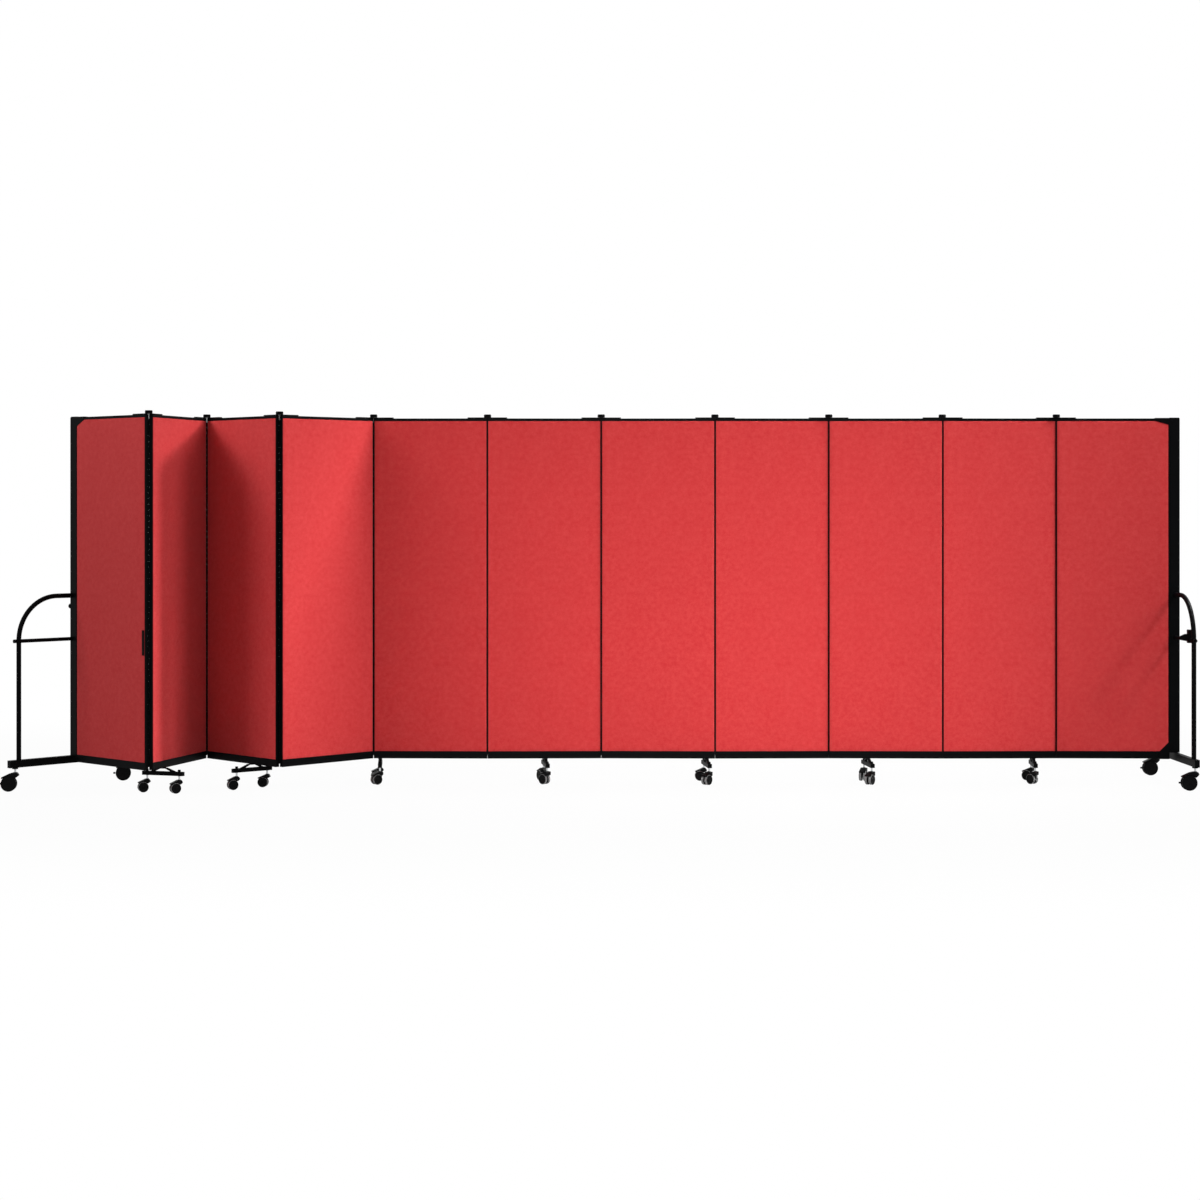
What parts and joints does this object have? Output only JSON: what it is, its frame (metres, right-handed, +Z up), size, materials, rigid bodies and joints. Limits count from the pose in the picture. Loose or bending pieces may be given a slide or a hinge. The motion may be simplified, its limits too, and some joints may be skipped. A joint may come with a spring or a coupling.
{
  "type": "accordion folding partition",
  "caption": "Freestanding accordion partition of cloth panels hinged edge to edge, rolling on cross feet and arched end frames with twin-wheel casters.",
  "frame": {"origin": "on the floor under the middle of the set-up wall's plan", "axes": "+X runs along the wall to the right as seen from the front, +Y to the back, +Z up"},
  "size_m": [5.7926, 0.9063, 1.829],
  "materials": {
    "frame": "satin",
    "cloth": "matte",
    "caster_body": "satin",
    "small_wheel": "matte",
    "large_wheel": "matte"
  },
  "bodies": {
    "panel_01": {"panel_01_frame": "frame", "panel_01_fabric": "cloth", "left_end_frame": "frame"},
    "panel_02": {"panel_02_frame": "frame", "panel_02_fabric": "cloth"},
    "panel_03": {"panel_03_frame": "frame", "panel_03_fabric": "cloth"},
    "panel_04": {"panel_04_frame": "frame", "panel_04_fabric": "cloth"},
    "panel_05": {"panel_05_frame": "frame", "panel_05_fabric": "cloth"},
    "panel_06": {"panel_06_frame": "frame", "panel_06_fabric": "cloth"},
    "panel_07": {"panel_07_frame": "frame", "panel_07_fabric": "cloth"},
    "panel_08": {"panel_08_frame": "frame", "panel_08_fabric": "cloth"},
    "panel_09": {"panel_09_frame": "frame", "panel_09_fabric": "cloth"},
    "panel_10": {"panel_10_frame": "frame", "panel_10_fabric": "cloth"},
    "panel_11": {"panel_11_frame": "frame", "panel_11_fabric": "cloth", "right_end_frame": "frame"},
    "panel_02_front_swivel": {"panel_02_front_caster": "caster_body"},
    "panel_02_front_roll": {"panel_02_front_wheels": "small_wheel"},
    "panel_02_back_swivel": {"panel_02_back_caster": "caster_body"},
    "panel_02_back_roll": {"panel_02_back_wheels": "small_wheel"},
    "panel_03_front_swivel": {"panel_03_front_caster": "caster_body"},
    "panel_03_front_roll": {"panel_03_front_wheels": "small_wheel"},
    "panel_03_back_swivel": {"panel_03_back_caster": "caster_body"},
    "panel_03_back_roll": {"panel_03_back_wheels": "small_wheel"},
    "panel_05_front_swivel": {"panel_05_front_caster": "caster_body"},
    "panel_05_front_roll": {"panel_05_front_wheels": "small_wheel"},
    "panel_05_back_swivel": {"panel_05_back_caster": "caster_body"},
    "panel_05_back_roll": {"panel_05_back_wheels": "small_wheel"},
    "panel_06_front_swivel": {"panel_06_front_caster": "caster_body"},
    "panel_06_front_roll": {"panel_06_front_wheels": "small_wheel"},
    "panel_06_back_swivel": {"panel_06_back_caster": "caster_body"},
    "panel_06_back_roll": {"panel_06_back_wheels": "small_wheel"},
    "panel_07_front_swivel": {"panel_07_front_caster": "caster_body"},
    "panel_07_front_roll": {"panel_07_front_wheels": "small_wheel"},
    "panel_07_back_swivel": {"panel_07_back_caster": "caster_body"},
    "panel_07_back_roll": {"panel_07_back_wheels": "small_wheel"},
    "panel_09_front_swivel": {"panel_09_front_caster": "caster_body"},
    "panel_09_front_roll": {"panel_09_front_wheels": "small_wheel"},
    "panel_09_back_swivel": {"panel_09_back_caster": "caster_body"},
    "panel_09_back_roll": {"panel_09_back_wheels": "small_wheel"},
    "panel_10_front_swivel": {"panel_10_front_caster": "caster_body"},
    "panel_10_front_roll": {"panel_10_front_wheels": "small_wheel"},
    "panel_10_back_swivel": {"panel_10_back_caster": "caster_body"},
    "panel_10_back_roll": {"panel_10_back_wheels": "small_wheel"},
    "left_end_front_swivel": {"left_end_front_caster": "caster_body"},
    "left_end_front_roll": {"left_end_front_wheels": "large_wheel"},
    "left_end_back_swivel": {"left_end_back_caster": "caster_body"},
    "left_end_back_roll": {"left_end_back_wheels": "large_wheel"},
    "right_end_front_swivel": {"right_end_front_caster": "caster_body"},
    "right_end_front_roll": {"right_end_front_wheels": "large_wheel"},
    "right_end_back_swivel": {"right_end_back_caster": "caster_body"},
    "right_end_back_roll": {"right_end_back_wheels": "large_wheel"}
  },
  "joints": [
    {"name": "hinge_04", "type": "hinge", "parent": "panel_05", "child": "panel_04", "pos_m": [-1.14455, 0.089, 0.9675], "axis": [0, 0, 1], "range_deg": [-46.5, 133.5]},
    {"name": "hinge_03", "type": "hinge", "parent": "panel_04", "child": "panel_03", "pos_m": [-1.56104, -0.29355, 0.9675], "axis": [0, 0, -1], "range_deg": [-90.5, 89.5]},
    {"name": "hinge_02", "type": "hinge", "parent": "panel_03", "child": "panel_02", "pos_m": [-1.97417, 0.09262, 0.9675], "axis": [0, 0, 1], "range_deg": [-118.5, 61.5]},
    {"name": "hinge_01", "type": "hinge", "parent": "panel_02", "child": "panel_01", "pos_m": [-2.16231, -0.44068, 0.9675], "axis": [0, 0, -1], "range_deg": [-116, 64]},
    {"name": "hinge_05", "type": "hinge", "parent": "panel_05", "child": "panel_06", "pos_m": [-0.57912, 0.0982, 0.9675], "axis": [0, 0, 1], "range_deg": [-3, 177]},
    {"name": "hinge_06", "type": "hinge", "parent": "panel_06", "child": "panel_07", "pos_m": [-0.01368, 0.089, 0.9675], "axis": [0, 0, -1], "range_deg": [-3, 177]},
    {"name": "hinge_07", "type": "hinge", "parent": "panel_07", "child": "panel_08", "pos_m": [0.55175, 0.0982, 0.9675], "axis": [0, 0, 1], "range_deg": [-3, 177]},
    {"name": "hinge_08", "type": "hinge", "parent": "panel_08", "child": "panel_09", "pos_m": [1.11719, 0.089, 0.9675], "axis": [0, 0, -1], "range_deg": [-3, 177]},
    {"name": "hinge_09", "type": "hinge", "parent": "panel_09", "child": "panel_10", "pos_m": [1.68262, 0.0982, 0.9675], "axis": [0, 0, 1], "range_deg": [-3, 177]},
    {"name": "hinge_10", "type": "hinge", "parent": "panel_10", "child": "panel_11", "pos_m": [2.24806, 0.089, 0.9675], "axis": [0, 0, -1], "range_deg": [-3, 177]},
    {"name": "panel_02_front_swivel", "type": "hinge", "parent": "panel_02", "child": "panel_02_front_swivel", "pos_m": [-2.03329, -0.35046, 0.09], "axis": [0, 0, 1], "continuous": true},
    {"name": "panel_02_front_roll", "type": "hinge", "parent": "panel_02_front_swivel", "child": "panel_02_front_roll", "pos_m": [-2.05095, -0.35985, 0.025], "axis": [0.4695, -0.8829, 0], "continuous": true},
    {"name": "panel_02_back_swivel", "type": "hinge", "parent": "panel_02", "child": "panel_02_back_swivel", "pos_m": [-2.19587, -0.30075, 0.09], "axis": [0, 0, 1], "continuous": true},
    {"name": "panel_02_back_roll", "type": "hinge", "parent": "panel_02_back_swivel", "child": "panel_02_back_roll", "pos_m": [-2.21466, -0.30759, 0.025], "axis": [0.342, -0.9397, 0], "continuous": true},
    {"name": "panel_03_front_swivel", "type": "hinge", "parent": "panel_03", "child": "panel_03_front_swivel", "pos_m": [-1.7805, -0.20794, 0.09], "axis": [0, 0, 1], "continuous": true},
    {"name": "panel_03_front_roll", "type": "hinge", "parent": "panel_03_front_swivel", "child": "panel_03_front_roll", "pos_m": [-1.79863, -0.21639, 0.025], "axis": [0.4226, -0.9063, 0], "continuous": true},
    {"name": "panel_03_back_swivel", "type": "hinge", "parent": "panel_03", "child": "panel_03_back_swivel", "pos_m": [-1.64746, -0.10211, 0.09], "axis": [0, 0, 1], "continuous": true},
    {"name": "panel_03_back_roll", "type": "hinge", "parent": "panel_03_back_swivel", "child": "panel_03_back_roll", "pos_m": [-1.66738, -0.10037, 0.025], "axis": [-0.0872, -0.9962, 0], "continuous": true},
    {"name": "panel_05_front_swivel", "type": "hinge", "parent": "panel_05", "child": "panel_05_front_swivel", "pos_m": [-1.10658, 0.01544, 0.09], "axis": [0, 0, 1], "continuous": true},
    {"name": "panel_05_front_roll", "type": "hinge", "parent": "panel_05_front_swivel", "child": "panel_05_front_roll", "pos_m": [-1.12296, 0.00397, 0.025], "axis": [0.5736, -0.8192, 0], "continuous": true},
    {"name": "panel_05_back_swivel", "type": "hinge", "parent": "panel_05", "child": "panel_05_back_swivel", "pos_m": [-1.11992, 0.18492, 0.09], "axis": [0, 0, 1], "continuous": true},
    {"name": "panel_05_back_roll", "type": "hinge", "parent": "panel_05_back_swivel", "child": "panel_05_back_roll", "pos_m": [-1.13871, 0.17808, 0.025], "axis": [0.342, -0.9397, 0], "continuous": true},
    {"name": "panel_06_front_swivel", "type": "hinge", "parent": "panel_06", "child": "panel_06_front_swivel", "pos_m": [-0.27981, 0.00947, 0.09], "axis": [0, 0, 1], "continuous": true},
    {"name": "panel_06_front_roll", "type": "hinge", "parent": "panel_06_front_swivel", "child": "panel_06_front_roll", "pos_m": [-0.29467, 0.02285, 0.025], "axis": [-0.6691, -0.7431, 0], "continuous": true},
    {"name": "panel_06_back_swivel", "type": "hinge", "parent": "panel_06", "child": "panel_06_back_swivel", "pos_m": [-0.302, 0.17802, 0.09], "axis": [0, 0, 1], "continuous": true},
    {"name": "panel_06_back_roll", "type": "hinge", "parent": "panel_06_back_swivel", "child": "panel_06_back_roll", "pos_m": [-0.312, 0.19534, 0.025], "axis": [-0.866, -0.5, 0], "continuous": true},
    {"name": "panel_07_front_swivel", "type": "hinge", "parent": "panel_07", "child": "panel_07_front_swivel", "pos_m": [0.51908, 0.00285, 0.09], "axis": [0, 0, 1], "continuous": true},
    {"name": "panel_07_front_roll", "type": "hinge", "parent": "panel_07_front_swivel", "child": "panel_07_front_roll", "pos_m": [0.50622, -0.01247, 0.025], "axis": [0.766, -0.6428, 0], "continuous": true},
    {"name": "panel_07_back_swivel", "type": "hinge", "parent": "panel_07", "child": "panel_07_back_swivel", "pos_m": [0.49983, 0.17176, 0.09], "axis": [0, 0, 1], "continuous": true},
    {"name": "panel_07_back_roll", "type": "hinge", "parent": "panel_07_back_swivel", "child": "panel_07_back_roll", "pos_m": [0.47983, 0.17176, 0.025], "axis": [0, -1, 0], "continuous": true},
    {"name": "panel_09_front_swivel", "type": "hinge", "parent": "panel_09", "child": "panel_09_front_swivel", "pos_m": [1.32206, 0.01144, 0.09], "axis": [0, 0, 1], "continuous": true},
    {"name": "panel_09_front_roll", "type": "hinge", "parent": "panel_09_front_swivel", "child": "panel_09_front_roll", "pos_m": [1.31059, -0.00495, 0.025], "axis": [0.8192, -0.5736, 0], "continuous": true},
    {"name": "panel_09_back_swivel", "type": "hinge", "parent": "panel_09", "child": "panel_09_back_swivel", "pos_m": [1.30281, 0.18034, 0.09], "axis": [0, 0, 1], "continuous": true},
    {"name": "panel_09_back_roll", "type": "hinge", "parent": "panel_09_back_swivel", "child": "panel_09_back_roll", "pos_m": [1.29597, 0.16155, 0.025], "axis": [0.9397, -0.342, 0], "continuous": true},
    {"name": "panel_10_front_swivel", "type": "hinge", "parent": "panel_10", "child": "panel_10_front_swivel", "pos_m": [2.12959, 0.01319, 0.09], "axis": [0, 0, 1], "continuous": true},
    {"name": "panel_10_front_roll", "type": "hinge", "parent": "panel_10_front_swivel", "child": "panel_10_front_roll", "pos_m": [2.11673, 0.02851, 0.025], "axis": [-0.766, -0.6428, 0], "continuous": true},
    {"name": "panel_10_back_swivel", "type": "hinge", "parent": "panel_10", "child": "panel_10_back_swivel", "pos_m": [2.13997, 0.18288, 0.09], "axis": [0, 0, 1], "continuous": true},
    {"name": "panel_10_back_roll", "type": "hinge", "parent": "panel_10_back_swivel", "child": "panel_10_back_roll", "pos_m": [2.12265, 0.19288, 0.025], "axis": [-0.5, -0.866, 0], "continuous": true},
    {"name": "left_end_front_swivel", "type": "hinge", "parent": "panel_01", "child": "left_end_front_swivel", "pos_m": [-2.83704, -0.27485, 0.09], "axis": [0, 0, 1], "continuous": true},
    {"name": "left_end_front_roll", "type": "hinge", "parent": "left_end_front_swivel", "child": "left_end_front_roll", "pos_m": [-2.86693, -0.27747, 0.0375], "axis": [0.0872, -0.9962, 0], "continuous": true},
    {"name": "left_end_back_swivel", "type": "hinge", "parent": "panel_01", "child": "left_end_back_swivel", "pos_m": [-2.37865, 0.19161, 0.09], "axis": [0, 0, 1], "continuous": true},
    {"name": "left_end_back_roll", "type": "hinge", "parent": "left_end_back_swivel", "child": "left_end_back_roll", "pos_m": [-2.40819, 0.1864, 0.0375], "axis": [0.1736, -0.9848, 0], "continuous": true},
    {"name": "right_end_front_swivel", "type": "hinge", "parent": "panel_11", "child": "right_end_front_swivel", "pos_m": [2.85599, -0.24088, 0.09], "axis": [0, 0, 1], "continuous": true},
    {"name": "right_end_front_roll", "type": "hinge", "parent": "right_end_front_swivel", "child": "right_end_front_roll", "pos_m": [2.82599, -0.24088, 0.0375], "axis": [0, -1, 0], "continuous": true},
    {"name": "right_end_back_swivel", "type": "hinge", "parent": "panel_11", "child": "right_end_back_swivel", "pos_m": [2.81835, 0.41203, 0.09], "axis": [0, 0, 1], "continuous": true},
    {"name": "right_end_back_roll", "type": "hinge", "parent": "right_end_back_swivel", "child": "right_end_back_roll", "pos_m": [2.78835, 0.41203, 0.0375], "axis": [0, -1, 0], "continuous": true}
  ],
  "couplings": [
    {"joint": "hinge_06", "follows": "hinge_05", "ratio": 1},
    {"joint": "hinge_08", "follows": "hinge_07", "ratio": 1},
    {"joint": "hinge_10", "follows": "hinge_09", "ratio": 1}
  ]
}
